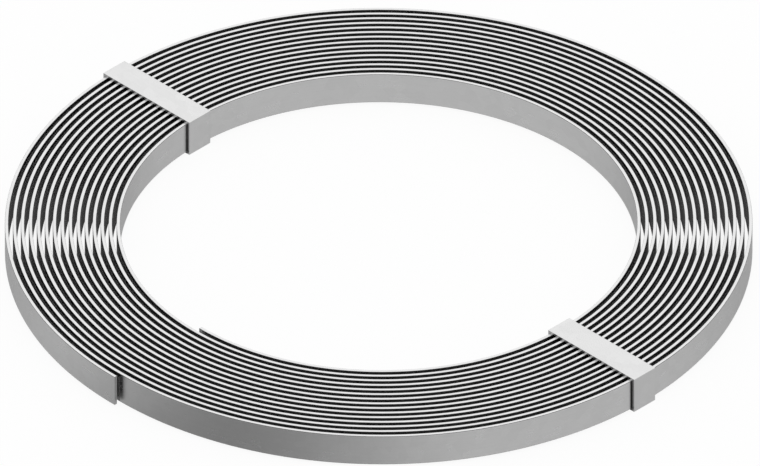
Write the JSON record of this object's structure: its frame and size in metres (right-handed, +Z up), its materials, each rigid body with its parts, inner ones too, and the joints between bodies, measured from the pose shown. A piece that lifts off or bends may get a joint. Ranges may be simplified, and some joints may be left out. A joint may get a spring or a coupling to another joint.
{
  "type": "steel coil",
  "caption": "Flat galvanised steel strip wound on edge into an open spiral ring with a wide round bore, held by flat binding straps on opposite sides.",
  "frame": {"origin": "on the floor plane, on the winding's axis", "axes": "+Z up along the winding's axis, the binding straps on -X and +X, both free ends of the strip on -Y"},
  "size_m": [0.6582, 0.6565, 0.0348],
  "materials": {
    "galvanised_strip": "hot-dip galvanised, satin",
    "galvanised_strap": "galvanised band, satin, with sheared edges"
  },
  "bodies": {
    "root": {"coiled_strip": "galvanised_strip", "binding_strap_left": "galvanised_strap", "binding_strap_right": "galvanised_strap"}
  },
  "joints": []
}
